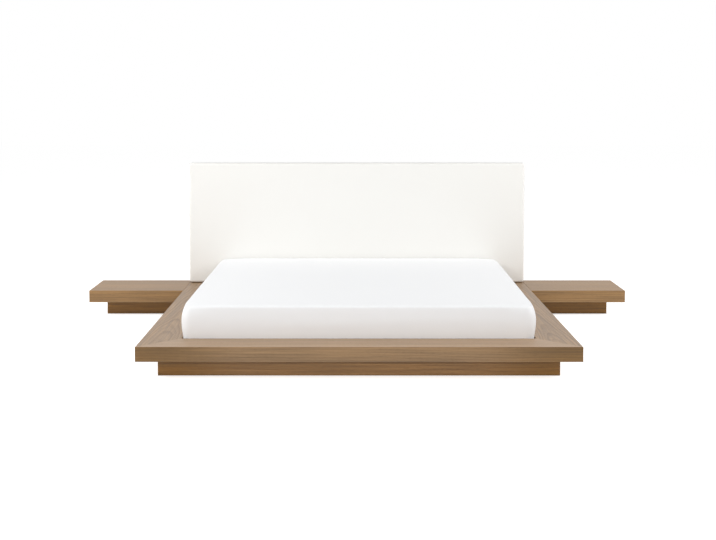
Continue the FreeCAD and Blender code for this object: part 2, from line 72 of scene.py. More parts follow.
# Wrinkles of the sheet
TOP_STARTS = 0.15
TOP_TURN = 0.045
BROAD_WAVES, BROAD_HEIGHT = 2.3, 0.0012
SMALL_WAVES, SMALL_HEIGHT = 6.5, 0.0007
GATHER_REACH = 0.11
FOLD_PITCH, FOLD_HEIGHT, FOLD_WANDER = 0.034, 0.0016, 0.02
PULL_HEIGHT = 0.0009
CREASE_TOP, CREASE_FOOT = (-0.372, 0.305), (-0.318, 0.205)
CREASE_DEPTH, CREASE_WIDTH, CREASE_BAND = 0.0016, 0.009, 0.06

# Headboard
HEADBOARD_CORNER = 0.014
HEADBOARD_FRONT_ROLL = 0.012
HEADBOARD_BACK_ROLL = 0.003
HEADBOARD_BULGE = 0.0005
HEADBOARD_CROWN = 0.0025
HEADBOARD_RETURN = 0.045
HEADBOARD_SKIN = 0.0016
HEADBOARD_STEP = 0.03
HEADBOARD_WAVE = 0.0005
HEADBOARD_EDGE = 0.0006
SEAM_FROM_FRONT = 0.02
SEAM_DEPTH = 0.0006
SEAM_HALF_WIDTH = 0.0011
LINING_OVERLAP = 0.012
LINING_THICKNESS = 0.0008
LINING_SLACK = 0.0025
LINING_LIFT = 0.0002
LINING_RIPPLE = 0.0003
LINING_GRID = (90, 32)
MEMBER_HEIGHT = 0.07
SLACK_RUN = 0.08
STAPLE_PITCH = 0.045
STAPLE_LENGTH = 0.011
STAPLE_WIRE = 0.0006
STAPLE_BITE = 0.0004
STAPLE_ROUND = 0.0002

# Fittings
BOLT_HEAD, BOLT_SHANK, BOLT_SOCKET = 0.008, 0.004, 0.003
SLAT_COUNT = 12
SLAT_PITCH = 0.1721
STRAP_WIDTH = 0.03
STRAP_SAG = 0.002
STRAP_SELVEDGE = 0.0002
STRAP_STAPLES = (0.3, 0.7)
BRACKET_SHEET = 0.003
HANGER_SHEET = 0.002
HANGER_EAR = 0.02
SCREW_RADIUS = 0.004
SCREW_RISE = 0.0022
BRACKET_SCREW_SHARE = 0.28
BRACKET_SCREW_DROP = 0.003
HANGER_SCREW_SHARES = (0.25, 0.75)

# Light: name, size, place, aim, power, and whether the wood mirrors it
LAMPS = (
    ("key", (3.5, 3.0), (-3.0, -3.6, 4.4), (0, 0, 0.2), 62, True),
    ("front", (3.0, 0.25), (0.0, -6.0, 1.5), (0, -0.6, 0.2), 76, False),
    ("front_high", (4.0, 1.0), (0.0, -5.6, 2.3), (0, 1.1, 0.5), 11, False),
    ("side_left", (2.0, 1.2), (-4.2, -0.3, 2.4), (-1.0, 0.6, 0.15), 92, False),
    ("side_right", (2.0, 1.2), (4.2, -0.3, 2.4), (1.0, 0.6, 0.15), 94, False),
)
WORLD_LIGHT = 0.41
FLOOR_COLOUR = (0.82, 0.82, 0.82, 1)
FLOOR_GLOW = 0.66
FLOOR_SIZE = 30.0
FLOOR_DROP = 0.001

# Camera: degrees below level and to the left
CAMERA_PLACE = (-0.044, -7.6425, 1.3976)
CAMERA_PITCH = 3.814
CAMERA_TURN = 0.039
CAMERA_SENSOR = 36.0
CAMERA_LENS = 66.633
CAMERA_SHIFT = (0.0122, -0.12)


# Node trees

# The sockets of a Mix node that carry vectors and colours: two inputs, one output
MIX_VECTORS = (4, 5, 1)
MIX_COLOURS = (6, 7, 2)
FACES_THAT_WAY = 0.7


def feed(tree, socket, value):
    """Links a socket to another one, or gives it a value."""
    if isinstance(value, bpy.types.NodeSocket):
        tree.links.new(value, socket)
    else:
        socket.default_value = value


def add(tree, kind, inputs=None, **settings):
    """One shader node. An input is a value, or a socket that is linked to it."""
    made = tree.nodes.new("ShaderNode" + kind)
    for name, value in settings.items():
        setattr(made, name, value)
    for name, value in (inputs or {}).items():
        feed(tree, made.inputs[name], value)
    return made


def maths(tree, operation, *values, clamp=False):
    """The result of one Math node."""
    made = add(tree, "Math", dict(enumerate(values)), operation=operation, use_clamp=clamp)
    return made.outputs[0]


def times(tree, first, second, clamp=False):
    """The product of two numbers."""
    return maths(tree, "MULTIPLY", first, second, clamp=clamp)


def vectors(tree, operation, *values):
    """The result of one Vector Math node: its value for a dot product, else its vector."""
    made = add(tree, "VectorMath", dict(enumerate(values)), operation=operation)
    return made.outputs["Value" if operation == "DOT_PRODUCT" else "Vector"]


def scaled_by(tree, vector, factor):
    """A vector times a number."""
    return add(tree, "VectorMath", {0: vector, "Scale": factor}, operation="SCALE").outputs[0]


def axes(tree, vector):
    """The three numbers of a vector."""
    return add(tree, "SeparateXYZ", {"Vector": vector}).outputs


def ramp(tree, value, low, high, to_low=0.0, to_high=1.0):
    """A value eased from one range to another."""
    names = ("Value", "From Min", "From Max", "To Min", "To Max")
    inputs = dict(zip(names, (value, low, high, to_low, to_high)))
    return add(tree, "MapRange", inputs, interpolation_type="SMOOTHSTEP").outputs["Result"]


def blended(tree, share, first, second, how="MIX"):
    """Two colours mixed by a share."""
    one, other, out = MIX_COLOURS
    inputs = {"Factor": share, one: first, other: second}
    return add(tree, "Mix", inputs, data_type="RGBA", blend_type=how).outputs[out]


def clouds(tree, place, scale, detail=3.0):
    """Even noise."""
    return add(tree, "TexNoise", {"Vector": place, "Scale": scale, "Detail": detail}).outputs[0]


def streaks(tree, place, scale, detail=2.0, roughness=0.5):
    """Noise stretched by a different scale on each axis."""
    scaled = vectors(tree, "MULTIPLY", place, scale)
    inputs = {"Vector": scaled, "Scale": 1.0, "Detail": detail, "Roughness": roughness}
    return add(tree, "TexNoise", inputs).outputs[0]


def effect(name, inputs, outputs):
    """A node group and its two ends, from its inputs' values and its outputs' kinds."""
    tree = bpy.data.node_groups.new(name, "ShaderNodeTree")
    for label, value in inputs.items():
        kind = {3: "Vector", 4: "Color"}[len(value)] if isinstance(value, tuple) else "Float"
        socket = tree.interface.new_socket(label, in_out="INPUT", socket_type=f"NodeSocket{kind}")
        socket.default_value = value
    for label, kind in outputs.items():
        tree.interface.new_socket(label, in_out="OUTPUT", socket_type=f"NodeSocket{kind}")
    start = tree.nodes.new("NodeGroupInput").outputs
    end = tree.nodes.new("NodeGroupOutput").inputs
    return tree, start, end


def veneer_run():
    """Turns a place on the object into (along, across, height) for veneer.

    The grain runs along the given direction, but across it on the faces at its ends.
    """
    inputs = {"Place": (0, 0, 0), "Normal": (0, 0, 1), "Along": (1, 0, 0)}
    tree, start, end = effect("veneer_run", inputs, {"Vector": "Vector"})
    facing = maths(tree, "ABSOLUTE", vectors(tree, "DOT_PRODUCT", start["Normal"], start["Along"]))
    at_end = maths(tree, "GREATER_THAN", facing, FACES_THAT_WAY)
    sideways = vectors(tree, "CROSS_PRODUCT", (0, 0, 1), start["Along"])
    one, other, out = MIX_VECTORS
    inputs = {"Factor": at_end, one: start["Along"], other: sideways}
    along = add(tree, "Mix", inputs, data_type="VECTOR").outputs[out]
    across = vectors(tree, "CROSS_PRODUCT", (0, 0, 1), along)
    joined = {
        "X": vectors(tree, "DOT_PRODUCT", start["Place"], along),
        "Y": vectors(tree, "DOT_PRODUCT", start["Place"], across),
        "Z": axes(tree, start["Place"])["Z"],
    }
    feed(tree, end["Vector"], add(tree, "CombineXYZ", joined).outputs[0])
    return tree


def wood_figure():
    """Growth rings cut by the surface, with streaks and pores along the grain."""
    inputs = {
        "Vector": (0, 0, 0),
        "Pith": (0, 0.4, 0.1),
        "Ring Width": 0.006,
        "Taper": 0.02,
        "Waver": 0.02,
        "Early Wood": (0.5, 0.4, 0.3, 1),
        "Late Wood": (0.3, 0.2, 0.1, 1),
        "Ring Strength": 0.6,
        "Streak Strength": 0.3,
        "Pore Strength": 0.4,
    }
    outputs = {"Color": "Color", "Height": "Float", "Roughness": "Float"}
    tree, start, end = effect("wood_figure", inputs, outputs)
    place = start["Vector"]
    long_way = vectors(tree, "MULTIPLY", place, (1.1, 5.0, 5.0))
    warp = add(tree, "TexNoise", {"Vector": long_way, "Scale": 1.0, "Detail": 3.0})
    shift = vectors(tree, "SUBTRACT", warp.outputs["Color"], (0.5, 0.5, 0.5))
    moved = vectors(tree, "ADD", place, scaled_by(tree, shift, start["Waver"]))
    parts = axes(tree, vectors(tree, "SUBTRACT", moved, start["Pith"]))
    squares = [times(tree, parts[axis], parts[axis]) for axis in "YZ"]
    radius = maths(tree, "SQRT", maths(tree, "ADD", *squares))
    radius = maths(tree, "MULTIPLY_ADD", parts["X"], start["Taper"], radius)
    rings = maths(tree, "DIVIDE", radius, start["Ring Width"])
    within = maths(tree, "FRACT", rings)
    late = times(tree, ramp(tree, within, 0.25, 0.9), ramp(tree, within, 0.92, 1.0, 1.0, 0.0))
    each = add(tree, "TexWhiteNoise", {"W": maths(tree, "FLOOR", rings)}, noise_dimensions="1D")
    late = times(tree, late, ramp(tree, each.outputs["Value"], 0.0, 1.0, 0.45, 1.0))
    late = times(tree, late, start["Ring Strength"], clamp=True)
    broad = streaks(tree, place, (0.7, 16.0, 16.0), 3.0)
    medium = streaks(tree, place, (2.4, 95.0, 95.0), 3.0, 0.6)
    fine = streaks(tree, place, (9.0, 520.0, 520.0), 2.0, 0.7)
    tick = streaks(tree, place, (34.0, 1300.0, 1300.0), 1.0)
    pores = times(tree, ramp(tree, tick, 0.58, 0.72), start["Pore Strength"], clamp=True)
    tone = maths(tree, "MULTIPLY_ADD", ramp(tree, broad, 0.3, 0.7), 0.6, -0.3)
    bands = maths(tree, "MULTIPLY_ADD", ramp(tree, medium, 0.3, 0.7), 1.3, -0.65)
    tone = maths(tree, "ADD", tone, bands)
    tone = maths(tree, "ADD", tone, maths(tree, "MULTIPLY_ADD", fine, 0.5, -0.25))
    lift = maths(tree, "MULTIPLY_ADD", tone, start["Streak Strength"], 1.0)
    rung = blended(tree, late, start["Early Wood"], start["Late Wood"])
    lit = add(tree, "HueSaturation", {"Color": rung, "Value": lift}).outputs["Color"]
    shaded = blended(tree, pores, lit, blended(tree, 1.0, lit, (0.55, 0.5, 0.46, 1), "MULTIPLY"))
    feed(tree, end["Color"], shaded)
    sunk = maths(tree, "MULTIPLY_ADD", late, 0.4, pores)
    feed(tree, end["Height"], maths(tree, "SUBTRACT", 1.0, sunk))
    rough = maths(tree, "MULTIPLY_ADD", medium, 0.12, times(tree, pores, 0.2))
    feed(tree, end["Roughness"], rough)
    return tree


def edge_wear_and_highlight():
    """A mask of the arrises of a piece, broken up as handling wears them; it marks both their wear
    and a painted highlight.
    """
    inputs = {"Place": (0, 0, 0), "Width": 0.002}
    tree, start, end = effect("edge_wear_and_highlight", inputs, {"Mask": "Float"})
    rounded = add(tree, "Bevel", {"Radius": start["Width"]}, samples=4).outputs[0]
    sharp = add(tree, "NewGeometry").outputs["Normal"]
    bent = maths(tree, "SUBTRACT", 1.0, vectors(tree, "DOT_PRODUCT", rounded, sharp))
    broken = clouds(tree, start["Place"], 14.0, 4.0)
    mask = times(tree, ramp(tree, bent, 0.02, 0.25), ramp(tree, broken, 0.35, 0.65))
    feed(tree, end["Mask"], mask)
    return tree


def cloth_weave():
    """Plain weave: threads that pass over and under each other, with uneven yarn."""
    inputs = {"Place": (0, 0, 0), "Thread Pitch": 0.001, "Unevenness": 0.3}
    tree, start, end = effect("cloth_weave", inputs, {"Height": "Float", "Shade": "Float"})
    angle = maths(tree, "DIVIDE", math.tau, start["Thread Pitch"])
    parts = axes(tree, scaled_by(tree, start["Place"], angle))
    warp, weft, upright = [maths(tree, "SINE", parts[axis]) for axis in "XYZ"]
    level = times(tree, warp, weft)
    steep = times(tree, maths(tree, "ADD", warp, weft), upright)
    crossing = maths(tree, "ADD", level, steep)
    slubs = streaks(tree, start["Place"], (60.0, 900.0, 900.0), 2.0)
    other = streaks(tree, start["Place"], (900.0, 60.0, 900.0), 2.0)
    yarn = times(tree, maths(tree, "ADD", slubs, other), start["Unevenness"])
    height = maths(tree, "MULTIPLY_ADD", crossing, 0.25, yarn)
    feed(tree, end["Height"], height)
    # Shade is painted shade: the threads that dip under others are darker, along with the yarn's
    # own uneven tone
    feed(tree, end["Shade"], ramp(tree, height, 0.0, 0.7))
    return tree


def hide_grain():
    """Fine pebbled grain of smooth leather, with soft clouds of tone."""
    inputs = {"Place": (0, 0, 0), "Pebble Size": 0.0016}
    tree, start, end = effect("hide_grain", inputs, {"Height": "Float", "Cloud": "Float"})
    scale = maths(tree, "DIVIDE", 1.0, start["Pebble Size"])
    inputs = {"Vector": start["Place"], "Scale": scale, "Randomness": 0.9}
    cells = add(tree, "TexVoronoi", inputs, feature="DISTANCE_TO_EDGE").outputs["Distance"]
    creases = times(tree, clouds(tree, start["Place"], 130.0), 0.3)
    height = maths(tree, "MULTIPLY_ADD", ramp(tree, cells, 0.0, 0.18), 0.7, creases)
    feed(tree, end["Height"], height)
    feed(tree, end["Cloud"], clouds(tree, start["Place"], 2.2, 4.0))
    return tree


def painted_light_and_shade():
    """Painted light and shade on veneer.

    The faces that look up are painted lighter and paler, as light and sheen from above;
    the other faces are painted darker and richer towards the ends of the bed, as shade;
    and the foot of a board is painted darker, as shade along the floor.
    """
    inputs = {
        "Color": (0.5, 0.4, 0.3, 1),
        "Place": (0, 0, 0),
        "Normal": (0, 0, 1),
        "Painted Top Light": 0.1,
        "Painted End Shade": 0.1,
        "Painted Floor Shade": 0.0,
    }
    tree, start, end = effect("painted_light_and_shade", inputs, {"Color": "Color"})
    up = axes(tree, start["Normal"])["Z"]
    # Painted light: the faces that look up are lighter
    top = times(tree, maths(tree, "GREATER_THAN", up, FACES_THAT_WAY), start["Painted Top Light"])
    place = axes(tree, start["Place"])
    side = maths(tree, "ABSOLUTE", place["X"])
    # Painted shade: the other faces darken towards the ends of the bed
    ends = times(tree, ramp(tree, side, 0.55, 1.05), start["Painted End Shade"])
    ends = times(tree, ends, maths(tree, "LESS_THAN", up, FACES_THAT_WAY))
    # Painted shade: the foot of a board darkens along the floor
    foot = times(tree, ramp(tree, place["Z"], 0.0, 0.014, 1.0, 0.0), start["Painted Floor Shade"])
    painted_value = maths(tree, "SUBTRACT", maths(tree, "ADD", 1.0, top), maths(tree, "ADD", ends, foot))
    # The painted shade is richer in colour, and the painted light on top is paler, like a sheen
    painted_saturation = maths(tree, "MULTIPLY_ADD", ends, 0.55, 1.0)
    painted_saturation = maths(tree, "MULTIPLY_ADD", top, -0.35, painted_saturation)
    inputs = {"Color": start["Color"], "Value": painted_value, "Saturation": painted_saturation}
    feed(tree, end["Color"], add(tree, "HueSaturation", inputs).outputs["Color"])
    return tree


EFFECTS = {
    made.name: made
    for made in (veneer_run(), wood_figure(), painted_light_and_shade(), edge_wear_and_highlight(), cloth_weave(), hide_grain())
}


def place_effect(tree, name, inputs):
    """Puts a shared effect into a material with its own values."""
    made = tree.nodes.new("ShaderNodeGroup")
    made.node_tree = EFFECTS[name]
    for label, value in inputs.items():
        feed(tree, made.inputs[label], value)
    return made.outputs


def surface(name, **values):
    """A material with its Principled shader, the place on the object and its normal."""
    material = bpy.data.materials.new(name)
    material.use_nodes = True
    tree = material.node_tree
    shader = tree.nodes["Principled BSDF"]
    for label, value in values.items():
        shader.inputs[label.replace("_", " ")].default_value = value
    where = add(tree, "TexCoord").outputs
    return material, tree, shader, where


def clad(tree, shader, colour, roughness=None, bump=None):
    """Feeds the shader a colour, a roughness and a bump of (height, strength, distance)."""
    feed(tree, shader.inputs["Base Color"], colour)
    if roughness is not None:
        feed(tree, shader.inputs["Roughness"], roughness)
    if bump is not None:
        inputs = dict(zip(("Height", "Strength", "Distance"), bump))
        feed(tree, shader.inputs["Normal"], add(tree, "Bump", inputs).outputs[0])


def wood(name, vector_of, figure, worked, tone=None):
    """A wood finish from its grain direction, the values of its figure and how it is worked."""
    rub_and_highlight, roughness, specular, bump = worked
    material, tree, shader, where = surface(name, Specular_IOR_Level=specular)
    grown = place_effect(tree, "wood_figure", {"Vector": vector_of(tree, where), **figure})
    colour = grown["Color"]
    # The tone paints light on the tops and shade at the ends and along the floor
    if tone:
        inputs = {"Color": colour, "Place": where["Object"], "Normal": where["Normal"]}
        inputs.update(zip(("Painted Top Light", "Painted End Shade", "Painted Floor Shade"), tone))
        colour = place_effect(tree, "painted_light_and_shade", inputs)["Color"]
    # The arrises are paler: handling wear, and a painted highlight where an edge catches the light
    if rub_and_highlight:
        mask = place_effect(tree, "edge_wear_and_highlight", {"Place": where["Object"]})["Mask"]
        paler = blended(tree, 1.0, colour, (1.35, 1.35, 1.35, 1), "MULTIPLY")
        colour = blended(tree, times(tree, mask, rub_and_highlight), colour, paler)
    rough = maths(tree, "ADD", grown["Roughness"], roughness)
    clad(tree, shader, colour, rough, (grown["Height"], bump, 0.0004))
    return material


def veneer_along(direction, offset=(0, 0, 0)):
    """The grain direction of a veneered piece."""
    def vector_of(tree, where):
        inputs = {"Place": where["Object"], "Normal": where["Normal"], "Along": direction}
        run = place_effect(tree, "veneer_run", inputs)["Vector"]
        return vectors(tree, "ADD", run, offset)

    return vector_of


def timber_along(axis, cut_every=None):
    """The grain direction of solid timber, of which each board is cut from another place."""
    order = {"X": "XYZ", "Y": "YXZ", "Z": "ZXY"}[axis]

    def vector_of(tree, where):
        parts = axes(tree, where["Object"])
        joined = {to: parts[source] for to, source in zip("XYZ", order)}
        run = add(tree, "CombineXYZ", joined).outputs[0]
        if cut_every is None:
            return run
        board = maths(tree, "FLOOR", maths(tree, "DIVIDE", parts["Y"], cut_every))
        moved = add(tree, "TexWhiteNoise", {"W": board}, noise_dimensions="1D").outputs["Color"]
        return vectors(tree, "ADD", run, vectors(tree, "MULTIPLY", moved, (3.0, 0.0, 0.09)))

    return vector_of


# Woods: the colours of early and late wood
RAIL = (0.284, 0.172, 0.082, 1), (0.178, 0.1, 0.043, 1)
STAND = (0.283, 0.16, 0.061, 1), (0.181, 0.094, 0.032, 1)
PLINTH = (0.302, 0.166, 0.066, 1), (0.191, 0.096, 0.035, 1)
PINE = (0.7, 0.53, 0.31, 1), (0.48, 0.3, 0.13, 1)
BOARD = (0.56, 0.43, 0.27, 1), (0.46, 0.34, 0.2, 1)


def figure_of(colours, pith, growth):
    """The values that the wood_figure effect takes."""
    names = ("Ring Width", "Taper", "Waver", "Ring Strength", "Streak Strength", "Pore Strength")
    early, late = colours
    return {"Early Wood": early, "Late Wood": late, "Pith": pith, **dict(zip(names, growth))}


def make_woods():
    """Every wood finish by name."""
    # How a wood grows: ring width, taper, waver, and strength of the rings, streaks and pores
    straight = (0.009, 0.006, 0.022, 0.46, 0.27, 0.6)
    crown_cut = (0.014, 0.05, 0.07, 0.95, 0.3, 0.7)
    pine = (0.005, 0.01, 0.03, 0.6, 0.12, 0.1)
    rails = figure_of(RAIL, (0, -0.28, -0.74), straight)
    side_left = figure_of(RAIL, (0, 1.0, 0.11), crown_cut)
    side_right = figure_of(RAIL, (0, -1.0, 0.11), crown_cut)
    stands = figure_of(STAND, (0, 1.8, -0.74), straight)
    plinths = figure_of(PLINTH, (0, -0.4, -0.3), straight)
    timber = figure_of(PINE, (0, 0.12, -0.05), pine)
    plain = figure_of(BOARD, (0, 0.7, 0.6), pine)
    across, along = (1, 0, 0), (0, 1, 0)
    # Painted light and shade: how much lighter the tops are, and how much darker the ends and the
    # foot
    deck_painted_light_and_shade, side_painted_light, plinth_painted_shade = (0.34, 0.36, 0.0), (0.16, 0.0, 0.0), (0.0, 0.3, 0.2)
    # How a wood is worked: edge rub (wear and painted highlight), roughness, specular and bump
    polished, waxed, oiled = (0.5, 0.36, 0.5, 0.25), (0.4, 0.4, 0.45, 0.25), (0.5, 0.4, 0.45, 0.25)
    planed, sawn, pressed = (0.3, 0.5, 0.4, 0.3), (0.3, 0.55, 0.4, 0.3), (0.0, 0.6, 0.35, 0.2)
    finishes = {
        "rail_across": (veneer_along(across), rails, polished, deck_painted_light_and_shade),
        "rail_left": (veneer_along(along), side_left, polished, side_painted_light),
        "rail_right": (veneer_along(along), side_right, polished, side_painted_light),
        "stand_top": (veneer_along(across, (0.6, 0.2, 0)), stands, polished),
        "plinth_across": (veneer_along(across), plinths, waxed, plinth_painted_shade),
        "plinth_along": (veneer_along(along), plinths, waxed, plinth_painted_shade),
        "post_wood": (timber_along("Z"), rails, oiled),
        "slat_timber": (timber_along("X", SLAT_PITCH), timber, planed),
        "timber_x": (timber_along("X"), timber, sawn),
        "timber_y": (timber_along("Y"), timber, sawn),
        "timber_z": (timber_along("Z"), timber, sawn),
        "board_x": (timber_along("X"), plain, pressed),
        "board_y": (timber_along("Y"), plain, pressed),
    }
    return {name: wood(name, *values) for name, values in finishes.items()}


def cloth(name, light, dark, pitch, unevenness, roughness, sheen, bump):
    """A woven fabric."""
    material, tree, shader, where = surface(name, Roughness=roughness, Sheen_Weight=sheen)
    inputs = {"Place": where["Object"], "Thread Pitch": pitch, "Unevenness": unevenness}
    woven = place_effect(tree, "cloth_weave", inputs)
    # The weave's painted shade in its hollows and random clouds of tone pick between the two yarn
    # colours
    shade = times(tree, woven["Shade"], 0.6)
    share = maths(tree, "MULTIPLY_ADD", clouds(tree, where["Object"], 3.0), 0.4, shade)
    clad(tree, shader, blended(tree, share, dark, light), bump=(woven["Height"], bump, pitch))
    return material


def leather():
    """The headboard's smooth ivory leather."""
    material, tree, shader, where = surface("headboard_leather", Specular_IOR_Level=0.4)
    grained = place_effect(tree, "hide_grain", {"Place": where["Object"]})
    colour = blended(tree, grained["Cloud"], (0.846, 0.836, 0.805, 1), (0.866, 0.858, 0.828, 1))
    rough = maths(tree, "MULTIPLY_ADD", grained["Height"], -0.1, 0.55)
    clad(tree, shader, colour, rough, (grained["Height"], 0.12, 0.0003))
    return material


def steel():
    """Zinc plate with its cloudy spangle."""
    material, tree, shader, where = surface("zinc_steel", Metallic=1.0)
    inputs = {"Vector": where["Object"], "Scale": 160.0}
    spangle = add(tree, "TexVoronoi", inputs).outputs["Color"]
    tint = blended(tree, 0.12, (0.6, 0.61, 0.62, 1), spangle, "SOFT_LIGHT")
    clad(tree, shader, tint, ramp(tree, clouds(tree, where["Object"], 60.0), 0.2, 0.8, 0.28, 0.5))
    return material


def plastic():
    """Moulded black plastic with a fine spark texture."""
    material, tree, shader, where = surface("pad_plastic")
    dots = clouds(tree, where["Object"], 900.0, 2.0)
    colour = blended(tree, dots, (0.012, 0.012, 0.013, 1), (0.03, 0.03, 0.031, 1))
    clad(tree, shader, colour, ramp(tree, dots, 0.2, 0.8, 0.45, 0.65), (dots, 0.2, 0.0003))
    return material


# Light and dark yarn, between which the weave's painted shade and clouds of tone pick, then thread
# pitch, unevenness, roughness, sheen and bump
CLOTHS = {
    "sheet_cotton": (
        (0.913, 0.92, 0.93, 1), (0.896, 0.904, 0.915, 1), 0.0006, 0.2, 0.85, 0.15, 0.06
    ),
    "mattress_ticking": ((0.86, 0.86, 0.84, 1), (0.78, 0.78, 0.76, 1), 0.0012, 0.4, 0.9, 0.1, 0.25),
    "back_lining": ((0.72, 0.7, 0.65, 1), (0.58, 0.56, 0.51, 1), 0.0009, 0.6, 0.95, 0.1, 0.3),
    "strap_webbing": ((0.6, 0.55, 0.46, 1), (0.42, 0.38, 0.3, 1), 0.0022, 0.4, 0.9, 0.1, 0.5),
}

FINISHES = {
    **make_woods(),
    "zinc_steel": steel(),
    "pad_plastic": plastic(),
    "headboard_leather": leather(),
    **{name: cloth(name, *values) for name, values in CLOTHS.items()},
}

STANDS = ("nightstand_left", "nightstand_right")
SLATS = [f"slat_{number:02d}" for number in range(1, SLAT_COUNT + 1)]
STILES = [f"headboard_stile_{number}" for number in range(1, 5)]
NODE_FINISHES = {
    "rail_across": ["foot_rail", "head_rail"],
    "rail_left": ["side_rail_left"],
    "rail_right": ["side_rail_right"],
    "stand_top": [f"{stand}_top" for stand in STANDS],
    "plinth_across": ["plinth_foot", "plinth_head"]
    + [f"{stand}_plinth_{end}" for stand in STANDS for end in ("front", "back")],
    "plinth_along": ["plinth_left", "plinth_right"]
    + [f"{stand}_plinth_{end}" for stand in STANDS for end in ("outer", "inner")],
    "post_wood": ["headboard_post_left", "headboard_post_right"],
    "slat_timber": SLATS,
    "timber_x": ["mitre_blocks", "head_rail_tenons"]
    + [f"headboard_{end}_member" for end in ("top", "bottom")],
    "timber_y": ["center_beam"],
    "timber_z": ["plinth_corner_blocks", "center_legs", *STILES],
    "board_x": ["base_board_foot", "base_board_head", "headboard_panel"]
    + [f"{stand}_base_board" for stand in STANDS],
    "board_y": ["base_board_left", "base_board_right"],
    "zinc_steel": ["deck_brackets", "beam_hangers"],
    "pad_plastic": ["leg_pads"],
}


def finish_nodes():
    """Gives every CAD node that stays its finish."""
    for finish, names in NODE_FINISHES.items():
        for name in names:
            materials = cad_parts[name].data.materials
            materials.clear()
            materials.append(FINISHES[finish])


# Meshes


def put(name, data):
    """An object in the scene."""
    made = bpy.data.objects.new(name, data)
    bpy.context.scene.collection.objects.link(made)
    return made


def meshed(name, shape, material):
    """An object from a bmesh, in a material."""
    mesh = bpy.data.meshes.new(name)
    shape.to_mesh(mesh)
    shape.free()
    mesh.materials.append(material)
    return put(name, mesh)


def piece(name, shape, finish, body, smooth=True):
    """An object from a bmesh, in its finish, that rides on a body."""
    made = meshed(name, shape, FINISHES[finish])
    for polygon in made.data.polygons:
        polygon.use_smooth = smooth
    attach(made, body)
    return made


def rim_places(columns, rows, arc):
    """Places round a rectangle: shares of its half sizes, and the way outwards."""
    places = []
    for side in range(4):
        turn = side * math.pi / 2
        out = Vector((math.cos(turn), math.sin(turn)))
        run = Vector((-out.y, out.x))
        count = rows if side % 2 == 0 else columns
        for index in range(count + 1):
            share = -1 + 2 * index / count
            places.append((out + run * share, out))
        for index in range(1, arc):
            angle = turn + math.pi / 2 * index / arc
            places.append((out + run, Vector((math.cos(angle), math.sin(angle)))))
    return places


def spread(half, count):
    """Places at even steps from one side to the other."""
    return [half * (2 * index / count - 1) for index in range(count + 1)]


def skin(core, counts, arc, profile, lower_cap):
    """A padded skin: a profile led round a rectangle, closed by a grid on top.

    The profile is a list of (out, height) from the edge of the rectangle. Where out is
    below zero the rectangle draws in instead, with square corners.
    """
    columns, rows = counts
    places = rim_places(columns, rows, arc)
    shape = bmesh.new()

    def grid(half_x, half_y, height, upwards):
        beside, before = spread(half_x, columns), spread(half_y, rows)
        lines = [[shape.verts.new((x, y, height)) for y in before] for x in beside]
        for i in range(columns):
            for j in range(rows):
                corners = [lines[i][j], lines[i + 1][j], lines[i + 1][j + 1], lines[i][j + 1]]
                shape.faces.new(corners if upwards else corners[::-1])

    rings = []
    for out, height in profile:
        drawn, reach = min(out, 0.0), max(out, 0.0)
        ring = []
        for share, way in places:
            x = share.x * (core[0] + drawn) + way.x * reach
            y = share.y * (core[1] + drawn) + way.y * reach
            ring.append(shape.verts.new((x, y, height)))
        rings.append(ring)
    for upper, lower in zip(rings, rings[1:]):
        for index in range(len(places)):
            after = (index + 1) % len(places)
            shape.faces.new((upper[index], lower[index], lower[after], upper[after]))
    grid(core[0], core[1], profile[0][1], True)
    if lower_cap:
        drawn = min(profile[-1][0], 0.0)
        grid(core[0] + drawn, core[1] + drawn, profile[-1][1], False)
    bmesh.ops.remove_doubles(shape, verts=shape.verts, dist=1e-5)
    bmesh.ops.dissolve_degenerate(shape, edges=shape.edges, dist=1e-6)
    return shape


def arc_points(middle, radius, first, last, count):
    """Points on an arc, angles in degrees."""
    points = []
    for index in range(count + 1):
        angle = math.radians(first + (last - first) * index / count)
        points.append((middle[0] + radius * math.cos(angle), middle[1] + radius * math.sin(angle)))
    return points


def side_profile(reach, height, low_roll, high_roll, bulge, side_count):
    """The edge of a padded form from its top to its underside."""
    high = height - high_roll
    points = [(0.0, height)] + arc_points((reach - high_roll, high), high_roll, 90, 0, 7)
    for index in range(1, side_count):
        share = index / side_count
        out = reach + bulge * math.sin(math.pi * share)
        points.append((out, high + (low_roll - high) * share))
    return points + arc_points((reach - low_roll, low_roll), low_roll, 0, -90, 4)


def eased(value):
    """Rises smoothly from 0 to 1."""
    value = min(max(value, 0.0), 1.0)
    return value * value * (3 - 2 * value)


def crown_at(x, y, half_x, half_y):
    """How far a padded top has risen, from 0 at its edge to 1 in its middle."""
    return eased((1 - abs(x) / half_x) * 3) * eased((1 - abs(y) / half_y) * 3)


def subdivided(made):
    """Smooths an object by one subdivision."""
    smoother = made.modifiers.new("smooth", "SUBSURF")
    smoother.levels = smoother.render_levels = 1


def thickened(made, thickness, offset):
    """Gives a sheet its thickness."""
    shell = made.modifiers.new("thickness", "SOLIDIFY")
    shell.thickness = thickness
    shell.offset = offset


# Bedding

SHEET_LOW, SHEET_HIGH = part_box("fitted_sheet")
SHEET_MIDDLE = (SHEET_LOW + SHEET_HIGH) / 2
SHEET_HALF = (SHEET_HIGH - SHEET_LOW) / 2


